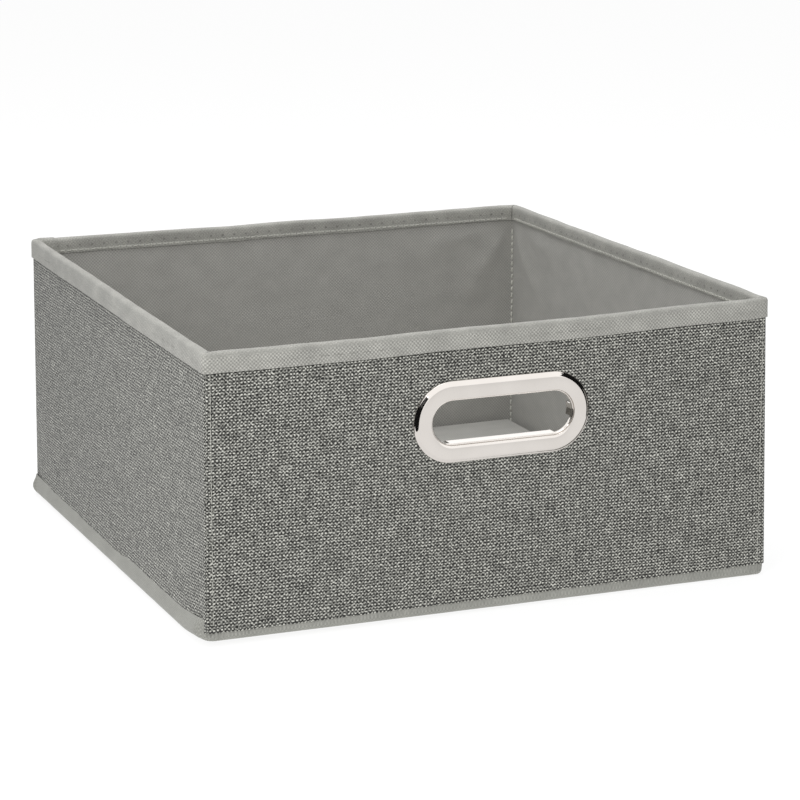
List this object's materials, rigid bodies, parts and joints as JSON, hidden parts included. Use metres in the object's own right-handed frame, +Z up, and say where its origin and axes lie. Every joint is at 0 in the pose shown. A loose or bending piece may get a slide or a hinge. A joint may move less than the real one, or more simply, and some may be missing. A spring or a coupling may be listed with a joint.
{
  "type": "fabric storage bin",
  "caption": "Low open-topped square storage bin of woven cloth over board walls, with a taped rim, an oblong metal-rimmed handle hole and a lift-out base insert.",
  "frame": {"origin": "centre of the underside, on the surface that the bin stands on", "axes": "+Z up, -Y towards the wall with the handle, +X to the right seen from the handle side"},
  "size_m": [0.311, 0.3122, 0.15],
  "materials": {
    "woven_cloth": "plain-woven melange of light grey-beige and near-black yarns, matt",
    "lining_cloth": "thin grey non-woven with a fine dot emboss, matt",
    "rim_tape": "light grey non-woven tape with a fine diagonal emboss, matt",
    "base_cloth": "light grey non-woven, matt",
    "insert_cloth": "grey non-woven stretched over board, matt",
    "thread": "spun polyester sewing thread",
    "cardboard": "plain grey-brown board",
    "handle_metal": "polished plated metal with a bevelled edge"
  },
  "bodies": {
    "bin": {"outer_cloth_front": "woven_cloth", "outer_cloth_back": "woven_cloth", "outer_cloth_left": "woven_cloth", "outer_cloth_right": "woven_cloth", "front_board": "cardboard", "back_board": "cardboard", "left_board_front_half": "cardboard", "left_board_rear_half": "cardboard", "right_board_front_half": "cardboard", "right_board_rear_half": "cardboard", "lining_front": "lining_cloth", "lining_back": "lining_cloth", "lining_left": "lining_cloth", "lining_right": "lining_cloth", "rim_binding": "rim_tape", "rim_thread": "thread", "corner_thread_front_left": "thread", "corner_thread_front_right": "thread", "corner_thread_back_left": "thread", "corner_thread_back_right": "thread", "base_cloth": "base_cloth", "base_seam_thread": "thread", "handle_bezel": "handle_metal", "handle_back_ring": "handle_metal"},
    "base_insert": {"insert_board": "cardboard", "insert_cover_top": "insert_cloth", "insert_cover_bottom": "insert_cloth", "insert_thread": "thread"}
  },
  "joints": [
    {"name": "insert_lift", "type": "slide", "parent": "bin", "child": "base_insert", "axis": [0, 0, 1], "range_m": [0, 0.2]}
  ]
}
